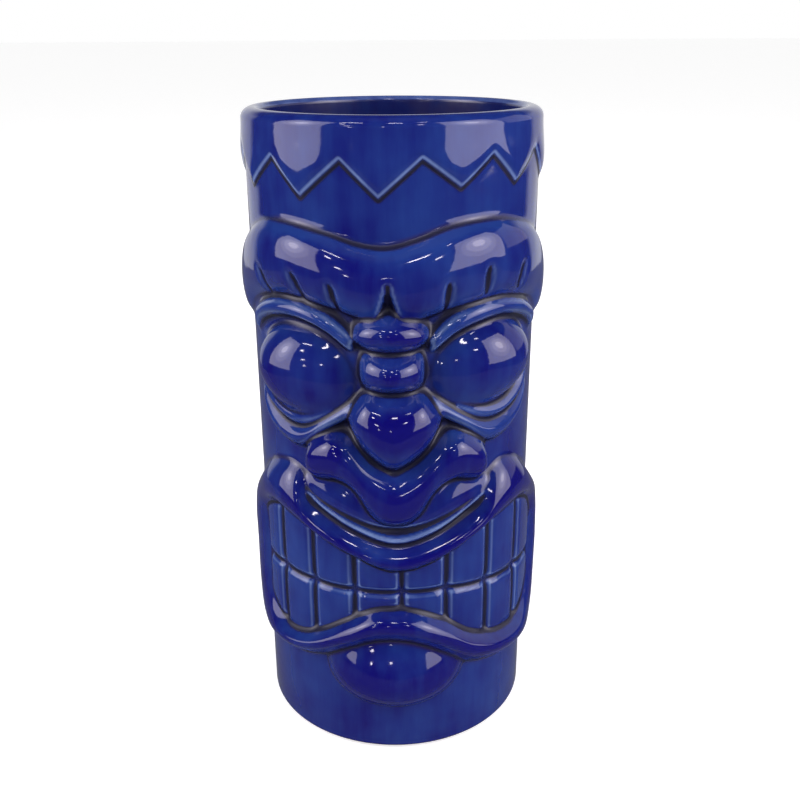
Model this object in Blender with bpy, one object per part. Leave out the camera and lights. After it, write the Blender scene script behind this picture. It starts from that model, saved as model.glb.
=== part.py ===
"""Tiki mug: a straight earthenware cup with a carved face laid round its front.

The cup stands on the XY plane with its axis on Z, and the face looks along -Y.
A place on the wall is written in millimetres as (u, z). u runs round the wall from the
middle of the face, positive towards +X, and z is the height above the table.
Each raised feature is a ladder of rungs. A rung is (u, z) on the feature's lower edge,
(u, z) on its upper edge, and how far the feature stands out between them.
"""

from math import ceil, cos, pi, radians, sin, tau

import bmesh
import bpy
from mathutils import Vector

MM = 0.001
MERGE = 0.00001

# Cup, in millimetres.
HEIGHT = 172.0
WALL_RADIUS = 37.8
WALL_THICKNESS = 4.2
FLOOR_TOP = 7.5
FLOOR_FILLET = 5.0
FOOT_HEIGHT = 0.8
FOOT_RADIUS = 35.8
FOOT_CHAMFER = 0.3
BASE_ROUNDING = 1.5
LATHE_STEPS = 64
LIP_STEPS = 6
FILLET_STEPS = 3

# Clearances, in millimetres.
GAP = 0.3
EDGE_HEIGHT = 0.55
GROOVE = 0.8

# Crown band and its zigzag hem.
CROWN_TOP = 169.4
CROWN_RISE = 0.7
HEM_PEAK = 162.8
HEM_DIP = 154.6
HEM_FRONT = [
    (-41.8, 154.6), (-31.7, 162.2), (-22.7, 153.6), (-12.1, 162.4), (-3.3, 153.9),
    (6.7, 162.7), (16.0, 155.9), (24.8, 163.0), (32.8, 155.8), (43.2, 163.0),
]
HEM_REAR_STEPS = 17
HEM_SUBDIVISIONS = 2

# Teeth: places of the upright grooves and of the line between the rows.
TOOTH_GROOVES = [-42.9, -33.9, -22.4, -10.7, 1.5, 13.2, 25.6, 38.0, 50.3]
BITE_LINE = [(-44.0, 52.9), (-20.0, 52.1), (12.0, 52.0), (26.0, 50.5), (51.0, 49.0)]
TOOTH_RISE = 1.8
TOOTH_STEP = 4.0

BROW = [
    ((-76.0, 128.0), (-76.0, 131.5), 0.9),
    ((-66.0, 122.5), (-66.0, 136.5), 1.6),
    ((-55.0, 121.0), (-55.0, 139.6), 2.1),
    ((-44.7, 125.6), (-44.0, 143.8), 2.8),
    ((-36.0, 128.8), (-35.5, 146.8), 3.8),
    ((-25.5, 129.3), (-26.0, 147.0), 5.0),
    ((-15.2, 128.0), (-15.6, 145.3), 5.6),
    ((-7.0, 126.2), (-7.5, 143.1), 6.0),
    ((-1.2, 125.9), (-1.2, 142.6), 6.2),
    ((5.1, 125.9), (5.2, 144.2), 6.0),
    ((15.2, 128.5), (14.0, 147.0), 5.6),
    ((25.5, 129.5), (25.0, 147.8), 5.0),
    ((36.0, 127.8), (36.0, 146.0), 3.8),
    ((44.7, 125.2), (44.0, 143.4), 2.7),
    ((55.0, 120.5), (55.0, 139.4), 1.8),
    ((66.0, 122.0), (66.0, 136.5), 1.6),
    ((76.0, 128.0), (76.0, 131.5), 0.9),
]
# Cuts in the brow's lower half, the cleft first and then the slits: (u, z) at the top,
# (u, z) at the bottom, the width at the bottom, and how much of the brow stays under it.
BROW_CUTS = [
    ((-1.2, 134.6), (-1.3, 124.0), 9.4, 0.0),
    ((-35.6, 136.0), (-34.2, 130.6), 1.7, 1.6),
    ((-22.9, 136.2), (-22.8, 130.4), 1.8, 1.6),
    ((-12.9, 135.0), (-12.9, 129.6), 1.6, 1.6),
    ((11.5, 134.6), (11.9, 129.2), 1.6, 1.6),
    ((22.0, 136.2), (21.8, 130.8), 1.7, 1.6),
    ((33.6, 136.6), (33.0, 130.8), 1.7, 1.6),
]
CUT_TOP_WIDTH = 0.6
CUT_REACH = 8.0

UPPER_LID_LEFT = [
    ((-44.6, 116.8), (-46.2, 119.6), 1.2),
    ((-39.6, 120.2), (-41.4, 124.8), 2.6),
    ((-32.5, 122.6), (-33.2, 127.9), 3.4),
    ((-25.0, 123.2), (-25.2, 128.7), 3.8),
    ((-17.0, 121.9), (-16.4, 127.4), 4.0),
    ((-9.9, 118.2), (-9.4, 123.4), 3.4),
]
UPPER_LID_RIGHT = [
    ((8.7, 117.8), (8.3, 122.8), 3.4),
    ((15.5, 121.9), (15.0, 127.5), 4.0),
    ((25.5, 123.8), (25.4, 128.9), 3.8),
    ((33.5, 122.9), (33.6, 127.6), 3.4),
    ((41.0, 120.0), (42.0, 124.4), 2.6),
    ((45.6, 116.6), (47.2, 119.4), 1.2),
]
# Eyeballs: middle (u, z), half width, half height, and how far they stand out.
EYE_STEPS = 15
EYE_LEFT = ((-26.7, 110.9), 16.4, 11.2, 5.4)
EYE_RIGHT = ((26.0, 112.3), 17.2, 10.8, 5.4)

LOWER_LID_LEFT = [
    ((-44.6, 105.0), (-45.0, 108.4), 1.0),
    ((-39.6, 100.2), (-41.4, 103.6), 2.0),
    ((-33.4, 97.0), (-34.2, 100.0), 2.6),
    ((-27.0, 95.9), (-27.0, 98.9), 2.8),
    ((-21.6, 97.6), (-21.0, 99.4), 2.2),
]
LOWER_LID_RIGHT = [
    ((21.0, 99.0), (20.6, 100.8), 2.2),
    ((27.2, 97.9), (27.2, 100.8), 2.8),
    ((33.6, 99.0), (33.9, 102.0), 2.6),
    ((40.0, 102.2), (41.2, 105.4), 2.0),
    ((44.8, 107.0), (44.8, 110.4), 1.0),
]
CHEEK_FOLD_LEFT = [
    ((-42.6, 97.6), (-44.0, 101.6), 1.0),
    ((-36.6, 92.8), (-38.2, 97.6), 1.9),
    ((-29.6, 90.6), (-29.8, 94.9), 2.5),
    ((-24.4, 91.4), (-23.4, 95.6), 3.0),
    ((-17.4, 97.7), (-15.9, 100.5), 3.4),
    ((-11.3, 100.8), (-9.4, 105.6), 3.0),
]
CHEEK_FOLD_RIGHT = [
    ((11.0, 101.2), (8.6, 107.0), 3.0),
    ((17.2, 97.9), (16.4, 101.2), 3.4),
    ((24.0, 92.6), (23.2, 97.2), 3.0),
    ((30.0, 91.9), (29.6, 96.4), 2.5),
    ((37.0, 94.6), (38.2, 99.2), 1.9),
    ((42.6, 99.6), (44.0, 103.6), 1.0),
]

BRIDGE_UPPER = [
    ((-8.9, 122.6), (-8.9, 124.2), 3.6),
    ((-6.6, 119.2), (-5.8, 124.9), 6.2),
    ((-3.6, 118.7), (-3.4, 126.0), 7.2),
    ((-0.9, 118.6), (-1.2, 127.9), 7.4),
    ((2.2, 118.7), (1.2, 126.0), 7.2),
    ((5.6, 119.2), (3.6, 124.9), 6.2),
    ((7.6, 122.6), (7.6, 124.2), 3.6),
]
BRIDGE_LOWER = [
    ((-7.7, 111.6), (-7.7, 115.0), 4.4),
    ((-6.9, 109.2), (-6.9, 117.9), 6.4),
    ((-3.8, 108.6), (-3.8, 118.2), 7.8),
    ((-0.6, 108.5), (-0.6, 118.2), 8.2),
    ((2.8, 108.6), (2.8, 118.2), 7.8),
    ((6.0, 109.2), (6.0, 117.9), 6.4),
    ((6.8, 111.6), (6.8, 115.0), 4.4),
]
NOSE_TIP = [
    ((-10.3, 98.9), (-10.3, 100.8), 4.6),
    ((-8.7, 95.6), (-9.2, 104.6), 7.0),
    ((-5.2, 91.2), (-6.8, 107.4), 9.2),
    ((-0.2, 88.0), (-0.4, 107.9), 10.2),
    ((5.2, 91.2), (6.2, 107.6), 9.2),
    ((9.0, 95.4), (8.8, 104.8), 7.0),
    ((10.5, 99.2), (10.5, 101.2), 4.6),
]
NOSTRIL_WINGS = [
    ((-24.6, 83.6), (-25.0, 86.6), 2.4),
    ((-22.4, 82.3), (-24.2, 90.2), 4.8),
    ((-18.6, 83.2), (-20.2, 94.6), 6.2),
    ((-14.4, 84.0), (-14.9, 97.0), 6.6),
    ((-10.6, 82.7), (-11.2, 96.4), 6.6),
    ((-7.8, 80.2), (-8.2, 93.6), 6.8),
    ((-5.6, 76.6), (-4.6, 89.6), 7.0),
    ((-0.2, 72.6), (-0.2, 86.9), 7.2),
    ((5.6, 76.6), (4.6, 89.6), 7.0),
    ((7.8, 80.2), (8.4, 93.4), 6.8),
    ((10.8, 82.7), (11.6, 96.4), 6.6),
    ((14.8, 84.1), (15.0, 97.2), 6.6),
    ((19.2, 82.6), (20.2, 94.2), 6.2),
    ((22.9, 81.2), (24.2, 89.6), 4.8),
    ((24.8, 82.8), (25.2, 85.8), 2.4),
]
MOUSTACHE_UPPER = [
    ((-23.8, 79.6), (-24.4, 81.8), 2.0),
    ((-19.2, 77.0), (-18.4, 79.4), 3.2),
    ((-10.6, 73.4), (-9.8, 75.8), 3.6),
    ((0.0, 69.6), (0.0, 71.9), 4.0),
    ((10.6, 72.8), (9.8, 75.2), 3.6),
    ((19.2, 76.2), (18.4, 78.6), 3.2),
    ((25.4, 78.8), (25.8, 80.6), 2.0),
]
MOUSTACHE_LOWER = [
    ((-20.8, 75.6), (-21.8, 77.2), 2.2),
    ((-15.8, 72.6), (-15.4, 75.0), 3.4),
    ((-8.6, 69.3), (-8.2, 72.0), 3.8),
    ((0.0, 66.9), (0.0, 69.0), 4.2),
    ((8.6, 68.7), (8.2, 71.4), 3.8),
    ((15.8, 72.2), (15.4, 74.4), 3.4),
    ((21.8, 75.6), (22.8, 77.2), 2.2),
]
UPPER_LIP = [
    ((-43.9, 52.6), (-62.5, 52.6), 2.0),
    ((-43.8, 60.5), (-60.6, 60.2), 2.3),
    ((-42.7, 66.2), (-55.0, 68.6), 2.5),
    ((-38.5, 69.9), (-46.8, 75.8), 3.4),
    ((-33.5, 71.3), (-37.2, 82.0), 4.3),
    ((-29.0, 70.6), (-30.2, 84.6), 5.0),
    ((-25.2, 69.3), (-26.1, 81.6), 5.2),
    ((-20.0, 67.3), (-21.6, 74.7), 5.2),
    ((-10.0, 62.8), (-11.2, 69.6), 5.4),
    ((0.0, 59.1), (0.0, 66.3), 5.6),
    ((10.0, 61.7), (11.2, 69.0), 5.4),
    ((20.0, 66.8), (21.6, 74.3), 5.2),
    ((25.4, 68.9), (26.6, 79.2), 5.2),
    ((30.0, 70.3), (31.2, 82.6), 5.0),
    ((36.0, 71.0), (38.0, 81.2), 4.3),
    ((42.6, 69.2), (47.4, 75.2), 3.6),
    ((48.0, 64.4), (56.0, 68.4), 2.8),
    ((50.9, 58.0), (61.4, 59.6), 2.6),
    ((51.4, 51.2), (63.0, 51.2), 2.5),
]
LOWER_LIP = [
    ((-62.5, 52.0), (-43.9, 52.0), 2.0),
    ((-62.0, 40.0), (-43.8, 44.6), 2.1),
    ((-57.0, 28.5), (-41.0, 39.2), 2.5),
    ((-48.0, 25.4), (-36.0, 35.6), 3.6),
    ((-38.0, 26.6), (-30.4, 34.5), 4.8),
    ((-29.0, 27.1), (-24.6, 35.7), 5.2),
    ((-20.6, 29.3), (-19.0, 38.6), 5.5),
    ((-13.0, 33.2), (-12.6, 43.0), 5.8),
    ((-6.0, 36.5), (-5.8, 46.8), 6.0),
    ((0.0, 37.1), (0.0, 47.5), 6.0),
    ((6.0, 35.5), (6.0, 46.2), 6.0),
    ((12.4, 31.4), (13.0, 42.4), 5.8),
    ((19.6, 26.7), (20.0, 37.0), 5.5),
    ((29.0, 24.3), (28.6, 33.5), 5.2),
    ((39.0, 23.0), (38.0, 33.0), 4.8),
    ((49.0, 21.8), (45.0, 35.8), 3.6),
    ((57.6, 27.2), (49.6, 42.0), 2.9),
    ((62.2, 39.0), (51.2, 46.4), 2.6),
    ((63.0, 50.6), (51.4, 50.6), 2.5),
]
CHIN = [
    ((-19.6, 26.6), (-19.8, 28.0), 1.2),
    ((-17.0, 22.8), (-16.4, 30.2), 3.4),
    ((-10.4, 18.0), (-9.8, 33.8), 5.6),
    ((0.0, 15.8), (-0.2, 36.2), 6.4),
    ((10.4, 18.0), (9.2, 32.2), 5.6),
    ((17.0, 22.8), (14.9, 28.2), 3.4),
    ((18.9, 24.8), (18.6, 25.9), 1.2),
]

# Colours of the glaze, linear RGB: pooled on the body, thinner on what stands out.
DEEP_GLAZE = (0.012, 0.020, 0.190)
FACE_GLAZE = (0.016, 0.030, 0.260)
THIN_GLAZE = (0.045, 0.085, 0.330)
BARE_CLAY = (0.62, 0.54, 0.45)


def clear_scene():
    for item in list(bpy.data.objects):
        bpy.data.objects.remove(item)


def make_material(name, colour, roughness):
    material = bpy.data.materials.new(name)
    material.use_nodes = True
    shader = material.node_tree.nodes["Principled BSDF"]
    shader.inputs["Base Color"].default_value = (*colour, 1.0)
    shader.inputs["Roughness"].default_value = roughness
    shader.inputs["Metallic"].default_value = 0.0
    return material


def on_wall(u, z, height):
    """The point at (u, z) that stands height out from the wall, in metres."""
    angle = u / WALL_RADIUS
    radius = (WALL_RADIUS + height) * MM
    return Vector((radius * sin(angle), -radius * cos(angle), z * MM))


def add_object(name, mesh, colour, roughness=0.12):
    mesh.shade_smooth()
    mesh.set_sharp_from_angle(angle=radians(40.0))
    item = bpy.data.objects.new(name, mesh)
    item.data.materials.append(make_material(name + "_finish", colour, roughness))
    bpy.context.scene.collection.objects.link(item)
    return item


def lathe(name, profile, colour, roughness):
    """A turned solid from (radius, z) points that run down its outer side."""
    mesh = bpy.data.meshes.new(name)
    points = [(radius * MM, 0.0, z * MM) for radius, z in profile]
    edges = [(index, index + 1) for index in range(len(points) - 1)]
    mesh.from_pydata(points, edges, [])
    item = add_object(name, mesh, colour, roughness)
    screw = item.modifiers.new("turn", "SCREW")
    screw.steps = LATHE_STEPS
    screw.render_steps = LATHE_STEPS
    screw.use_merge_vertices = True
    screw.merge_threshold = MERGE
    return item


def arc(centre, radius, start, stop, steps):
    """Points from start to stop degrees round centre, counted from +X towards +Z."""
    points = []
    for step in range(steps + 1):
        angle = radians(start + (stop - start) * step / steps)
        points.append((centre[0] + radius * cos(angle), centre[1] + radius * sin(angle)))
    return points


def cup_body():
    inner = WALL_RADIUS - WALL_THICKNESS
    base = FOOT_HEIGHT + GAP
    lip = WALL_THICKNESS / 2.0
    profile = [(0.0, FLOOR_TOP)]
    corner = (inner - FLOOR_FILLET, FLOOR_TOP + FLOOR_FILLET)
    profile += arc(corner, FLOOR_FILLET, -90.0, 0.0, FILLET_STEPS)
    profile += arc((WALL_RADIUS - lip, HEIGHT - lip), lip, 180.0, 0.0, LIP_STEPS)
    heel = (WALL_RADIUS - BASE_ROUNDING, base + BASE_ROUNDING)
    profile += arc(heel, BASE_ROUNDING, 0.0, -90.0, FILLET_STEPS)
    profile.append((0.0, base))
    lathe("cup_body", profile, DEEP_GLAZE, 0.1)


def foot():
    profile = [
        (0.0, FOOT_HEIGHT),
        (FOOT_RADIUS, FOOT_HEIGHT),
        (FOOT_RADIUS, FOOT_CHAMFER),
        (FOOT_RADIUS - FOOT_CHAMFER, 0.0),
        (0.0, 0.0),
    ]
    lathe("foot", profile, BARE_CLAY, 0.85)


def between(before, start, stop, after, t):
    """A smooth curve's value between start and stop, given the values either side."""
    drift = (stop - before) / 2.0
    arrival = (after - start) / 2.0
    cubic = 2.0 * start - 2.0 * stop + drift + arrival
    square = -3.0 * start + 3.0 * stop - 2.0 * drift - arrival
    return cubic * t**3 + square * t**2 + drift * t + start


def sample_rungs(rungs, steps, crowd_ends):
    """steps + 1 rungs, evenly spaced or crowded at both ends, on a smooth curve."""
    flat = [(*low, *high, rise) for low, high, rise in rungs]
    flat = [flat[0], *flat, flat[-1]]
    spans = len(rungs) - 1
    samples = []
    for step in range(steps + 1):
        share = step / steps
        if crowd_ends:
            share = (1.0 - cos(pi * share)) / 2.0
        span = min(int(share * spans), spans - 1)
        t = share * spans - span
        samples.append([between(*values, t) for values in zip(*flat[span:span + 4])])
    return samples


def bulge(share, fullness):
    """0 at both ends of the unit span and 1 in its middle, flatter when fuller."""
    return max(0.0, 1.0 - abs(2.0 * share - 1.0) ** fullness) ** (1.0 / fullness)


def relief(name, samples, colour, across=6, fullness=2.0, closed=False):
    """A raised piece over sampled rungs, with its back on the wall's curve."""
    rises = bmesh.new()
    fronts = []
    backs = []
    for low_u, low_z, high_u, high_z, rise in samples:
        front = []
        back = []
        for column in range(across + 1):
            share = (1.0 - cos(pi * column / across)) / 2.0
            u = low_u + (high_u - low_u) * share
            z = low_z + (high_z - low_z) * share
            swell = (rise - EDGE_HEIGHT) * bulge(share, fullness)
            front.append(rises.verts.new(on_wall(u, z, GAP + EDGE_HEIGHT + swell)))
            back.append(rises.verts.new(on_wall(u, z, GAP)))
        fronts.append(front)
        backs.append(back)
    if closed:
        fronts.append(fronts[0])
        backs.append(backs[0])
    for row in range(len(fronts) - 1):
        for column in range(across):
            for layer in (fronts, backs):
                corners = [layer[row][column], layer[row + 1][column]]
                corners += [layer[row + 1][column + 1], layer[row][column + 1]]
                rises.faces.new(corners)
        for column in (0, across):
            corners = [fronts[row][column], fronts[row + 1][column]]
            corners += [backs[row + 1][column], backs[row][column]]
            rises.faces.new(corners)
    if not closed:
        for row in (0, -1):
            for column in range(across):
                corners = [fronts[row][column], fronts[row][column + 1]]
                corners += [backs[row][column + 1], backs[row][column]]
                rises.faces.new(corners)
    bmesh.ops.recalc_face_normals(rises, faces=rises.faces)
    mesh = bpy.data.meshes.new(name)
    rises.to_mesh(mesh)
    rises.free()
    return add_object(name, mesh, colour)


def crown_band():
    """The band under the rim, whose hem zigzags all the way round."""
    turn = tau * WALL_RADIUS
    corners = list(HEM_FRONT)
    start = corners[-1][0]
    step = (corners[0][0] + turn - start) / HEM_REAR_STEPS
    for index in range(1, HEM_REAR_STEPS):
        corners.append((start + step * index, HEM_DIP if index % 2 else HEM_PEAK))
    corners.append((corners[0][0] + turn, corners[0][1]))
    samples = []
    for (u, z), (next_u, next_z) in zip(corners, corners[1:]):
        for part in range(HEM_SUBDIVISIONS):
            share = part / HEM_SUBDIVISIONS
            middle = u + (next_u - u) * share
            samples.append((middle, z + (next_z - z) * share, middle, CROWN_TOP, CROWN_RISE))
    relief("crown_band", samples, FACE_GLAZE, across=3, fullness=6.0, closed=True)


def brow_cutter():
    """Wedges that cut the cleft over the nose and the slits each side of it."""
    wedges = bmesh.new()
    for (top_u, top_z), (low_u, low_z), width, floor in BROW_CUTS:
        outline = [(top_u - CUT_TOP_WIDTH / 2.0, top_z), (low_u - width / 2.0, low_z)]
        outline += [(low_u + width / 2.0, low_z), (top_u + CUT_TOP_WIDTH / 2.0, top_z)]
        inner = [wedges.verts.new(on_wall(u, z, floor)) for u, z in outline]
        outer = [wedges.verts.new(on_wall(u, z, CUT_REACH)) for u, z in outline]
        wedges.faces.new(inner)
        wedges.faces.new(outer)
        for corner in range(len(outline)):
            sides = [inner[corner - 1], inner[corner], outer[corner], outer[corner - 1]]
            wedges.faces.new(sides)
    bmesh.ops.recalc_face_normals(wedges, faces=wedges.faces)
    mesh = bpy.data.meshes.new("brow_cutter")
    wedges.to_mesh(mesh)
    wedges.free()
    cutter = bpy.data.objects.new("brow_cutter", mesh)
    bpy.context.scene.collection.objects.link(cutter)
    cutter.hide_render = True
    cutter.display_type = "WIRE"
    return cutter


def brow():
    ridge = relief("brow", sample_rungs(BROW, 46, False), FACE_GLAZE, across=6)
    cut = ridge.modifiers.new("cleft_and_slits", "BOOLEAN")
    cut.operation = "DIFFERENCE"
    cut.solver = "EXACT"
    cut.object = brow_cutter()


def eye(name, middle, half_width, half_height, rise):
    """An eyeball: an ellipsoid cap laid on the wall."""
    samples = []
    for step in range(EYE_STEPS):
        across = -cos(pi * (step + 0.5) / EYE_STEPS)
        chord = (1.0 - across**2) ** 0.5
        u = middle[0] + half_width * across
        low = middle[1] - half_height * chord
        high = middle[1] + half_height * chord
        samples.append((u, low, u, high, EDGE_HEIGHT + (rise - EDGE_HEIGHT) * chord))
    relief(name, samples, FACE_GLAZE, across=8)


def eyes():
    eye("eye_left", *EYE_LEFT)
    eye("eye_right", *EYE_RIGHT)
    lids = {
        "upper_eyelid_left": (UPPER_LID_LEFT, 12),
        "upper_eyelid_right": (UPPER_LID_RIGHT, 12),
        "lower_eyelid_left": (LOWER_LID_LEFT, 9),
        "lower_eyelid_right": (LOWER_LID_RIGHT, 9),
        "cheek_fold_left": (CHEEK_FOLD_LEFT, 12),
        "cheek_fold_right": (CHEEK_FOLD_RIGHT, 12),
    }
    for name, (rungs, steps) in lids.items():
        relief(name, sample_rungs(rungs, steps, False), THIN_GLAZE, across=4)


def nose():
    relief("nose_bridge_upper", sample_rungs(BRIDGE_UPPER, 8, True), FACE_GLAZE, fullness=2.6)
    relief("nose_bridge_lower", sample_rungs(BRIDGE_LOWER, 8, True), FACE_GLAZE, fullness=2.6)
    relief("nose_tip", sample_rungs(NOSE_TIP, 12, True), FACE_GLAZE, across=8)
    relief("nostril_wings", sample_rungs(NOSTRIL_WINGS, 32, False), FACE_GLAZE, across=7)
    relief("moustache_upper", sample_rungs(MOUSTACHE_UPPER, 16, False), THIN_GLAZE, across=3)
    relief("moustache_lower", sample_rungs(MOUSTACHE_LOWER, 16, False), THIN_GLAZE, across=3)


def height_at(line, u):
    """The z of a line of (u, z) points at u, with u rising along the line."""
    for (u0, z0), (u1, z1) in zip(line, line[1:]):
        if u0 <= u <= u1:
            return z0 + (z1 - z0) * (u - u0) / (u1 - u0)
    raise ValueError(f"u = {u} is off the line")


def mouth():
    upper = sample_rungs(UPPER_LIP, 40, False)
    lower = sample_rungs(LOWER_LIP, 40, False)
    relief("upper_lip", upper, FACE_GLAZE)
    relief("lower_lip", lower, FACE_GLAZE)
    relief("chin", sample_rungs(CHIN, 14, True), FACE_GLAZE, across=8)
    upper_edge = [(u, z) for u, z, _, _, _ in upper]
    lower_edge = [(u, z) for _, _, u, z, _ in lower]
    columns = zip(TOOTH_GROOVES, TOOTH_GROOVES[1:])
    for number, (left, right) in enumerate(columns, start=1):
        tooth_pair(number, left + GROOVE / 2.0, right - GROOVE / 2.0, upper_edge, lower_edge)


def tooth_pair(number, left, right, upper_edge, lower_edge):
    """The upper and lower tooth of one column, between the lips and the bite line."""
    steps = ceil((right - left) / TOOTH_STEP)
    above = []
    below = []
    for step in range(steps + 1):
        u = left + (right - left) * step / steps
        bite = height_at(BITE_LINE, u)
        top = height_at(upper_edge, u) - GROOVE
        bottom = height_at(lower_edge, u) + GROOVE
        above.append((u, bite + GROOVE / 2.0, u, top, TOOTH_RISE))
        below.append((u, bottom, u, bite - GROOVE / 2.0, TOOTH_RISE))
    relief(f"upper_tooth_{number}", above, THIN_GLAZE, across=3, fullness=5.0)
    relief(f"lower_tooth_{number}", below, THIN_GLAZE, across=3, fullness=5.0)


def main():
    clear_scene()
    cup_body()
    foot()
    crown_band()
    brow()
    eyes()
    nose()
    mouth()


main()
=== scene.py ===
"""The tiki mug's looks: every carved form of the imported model, sculpted finely and glazed.

The real mug is one fired piece, so the whole outer surface is worked out once, as a
height over the cup's wall, and each named piece is then taken out of that one surface as
its own closed solid. A place on the wall is (u, z) in millimetres: u runs round the wall
from the middle of the face, positive towards +X, and z is the height above the table.
"""

from math import cos, pi, radians, sin, tau

import bpy
import numpy as np
from mathutils import Matrix, Vector
from mathutils.bvhtree import BVHTree


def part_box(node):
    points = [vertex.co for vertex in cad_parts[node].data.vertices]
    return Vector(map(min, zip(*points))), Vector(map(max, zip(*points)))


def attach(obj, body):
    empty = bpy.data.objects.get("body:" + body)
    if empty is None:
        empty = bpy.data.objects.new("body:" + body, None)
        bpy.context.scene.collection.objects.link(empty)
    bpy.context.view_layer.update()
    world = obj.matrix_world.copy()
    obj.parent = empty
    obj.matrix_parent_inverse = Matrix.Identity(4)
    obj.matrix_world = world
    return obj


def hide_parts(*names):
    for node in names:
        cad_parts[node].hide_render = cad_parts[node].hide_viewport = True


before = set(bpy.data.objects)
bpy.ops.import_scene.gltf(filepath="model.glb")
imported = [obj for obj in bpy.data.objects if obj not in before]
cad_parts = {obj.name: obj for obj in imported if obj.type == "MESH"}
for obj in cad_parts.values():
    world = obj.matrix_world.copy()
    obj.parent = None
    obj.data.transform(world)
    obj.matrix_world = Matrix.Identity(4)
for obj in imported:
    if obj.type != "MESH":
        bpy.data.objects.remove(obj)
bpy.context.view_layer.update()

MM = 0.001

# The cup, in millimetres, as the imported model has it.
CUP_LOW, CUP_HIGH = (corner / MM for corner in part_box("cup_body"))
FOOT_LOW, FOOT_HIGH = (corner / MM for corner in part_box("foot"))
WALL_RADIUS = CUP_HIGH.x
TURN = tau * WALL_RADIUS
BASE = CUP_LOW.z
HEIGHT = CUP_HIGH.z
FOOT_RADIUS = FOOT_HIGH.x
WALL_THICKNESS = 4.2
FLOOR_TOP = 7.5
FLOOR_FILLET = 5.0
HEEL = 1.0
SHOULDER = 2.6
INNER_LIP = WALL_THICKNESS - SHOULDER
# How far under the rim the inside's upright wall begins, and the pale rows on the rim.
INNER_WALL_DROP = 3.0
LIP_ROWS = 6
# Rings of corners on the flat base, on the inside's floor and on the foot's top.
BASE_RINGS = (4.0, 14.0, 24.0, 32.0)
FLOOR_RINGS = (24.0, 16.0, 8.0, 3.0)
FOOT_TOP_RINGS = (20.0, 4.0)
# The foot's chamfer, the corners round it, and its crease angle in degrees.
FOOT_CHAMFER = 0.3
FOOT_POINTS = 192
FOOT_CREASE = 40.0

# The sculpting grid: its step, how many steps make one cell of the face and of the plain
# rear, and how far round the face reaches.
FINE = 0.2
FACE_STEP = 2
REAR_STEP = 5
FACE_REACH = 80.0
POCKET = 0.5
SKIN_GAP = 0.02
# What changes by less than this across a cell, in millimetres or in share, is level there.
LEVEL_WITHIN = 0.002
# A form's own net: rows for each rung, lines across it, lines round a dome, and a height
# over them all to sample it from.
NET_PER_RUNG = 24
NET_ACROSS = 41
NET_ROUND = 97
OVERHEAD = 50.0
# How often the cells' owners are gone over, to part those that touch at a corner.
OWNER_ROUNDS = 30

# How far the clay's own edges, and the glaze over them, are softened.
CLAY_EDGE = 0.25
GLAZE_FLOW = 0.8
# Narrow valleys between forms are filled to this share of the forms around them, where
# forms that stand out by more than the last value cover so much of the reach.
VALLEY_SHARE = 0.6
VALLEY_REACH = 1.8
VALLEY_COVER = (0.55, 0.85)
FORM_STANDS = 0.2

# The glaze pools over this reach, to full darkness at this depth: partly pooled glaze, partly
# painted shade in the grooves. It breaks pale where the clay stands out of its surroundings by
# this range, over this scale: partly thin glaze, partly a painted highlight on the edges.
POOL_AND_SHADE_REACH = 1.1
POOL_AND_SHADE_DEPTH = 0.95
EDGE_SCALE = 0.38
EDGE_RANGE = (0.06, 0.19)
# For each kind of form, how pale the glaze breaks over its edges, partly a painted highlight,
# and how thin it lies.
KINDS = {
    "tooth": (1.0, 0.75),
    "crown": (1.0, 0.52),
    "eyelid": (0.85, 0.9),
    "cheek": (0.7, 0.85),
    "moustache_upper": (0.9, 0.45),
    "moustache_lower": (0.9, 0.8),
    "brow": (0.4, 0.4),
    "eye": (0.08, 0.2),
}
PLAIN_KIND = (0.2, 0.02)
# A pale line over the rim: partly broken glaze, partly a painted highlight.
RIM_PALE_AND_HIGHLIGHT = 0.35
RIM_THIN = 0.6
# Painted shade: the whole inside of the cup is darkened by this share of the pool-and-shade
# layer.
INSIDE_PAINTED_SHADE = 0.42
WALL_THIN = 0.44
# Its thinness is this share of its kind's, less the next on what stands fully out of the
# wall, averaged over a reach.
LOW_SHARE = 1.1
STAND_SHARE = 0.35
FULL_STAND = 5.5
STAND_REACH = 1.0
# It lies thinner by this much on the steepest places.
STEEP_THIN = 1.3
THIN_REACH = 0.8

# Crown band and its zigzag hem.
CROWN_RISE = 1.25
CROWN_TOP_SHARE = 0.5
CROWN_ROUNDING = 3.6
# How far under the hem's peaks the band begins to taper, how far under its dips it is
# looked for, and the distance that stands for everything lower.
TAPER_DROP = 3.0
HEM_SEARCH = 6.0
FAR_BELOW = -9.0
# Where the glaze pools dark under the hem, partly a painted shadow of the band's edge, and breaks
# pale along it, partly a painted highlight: place on the band's side, reach and amount; and how
# far off the hem's distance is kept on the mesh.
HEM_POOL_AND_SHADOW = (-0.5, 0.8, 1.0)
HEM_PALE_AND_HIGHLIGHT = (0.45, 0.55, 0.85)
HEM_REACH = 2.5
HEM_PEAK = 162.8
HEM_DIP = 154.6
HEM_FRONT = [
    (-41.8, 154.6), (-31.7, 162.2), (-22.7, 153.6), (-12.1, 162.4), (-3.3, 153.9),
    (6.7, 162.7), (16.0, 155.9), (24.8, 163.0), (32.8, 155.8), (43.2, 163.0),
]
HEM_REAR_STEPS = 17

# Teeth: places of the upright grooves and of the line between the rows.
TOOTH_GROOVES = [-42.9, -33.9, -22.4, -10.7, 1.5, 13.2, 25.6, 38.0, 50.3]
BITE_LINE = [(-44.0, 52.9), (-20.0, 52.1), (12.0, 52.0), (26.0, 50.5), (51.0, 49.0)]
TOOTH_RISE = 1.8
TOOTH_GROOVE = 0.65
TOOTH_ROUNDING = 0.7

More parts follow.
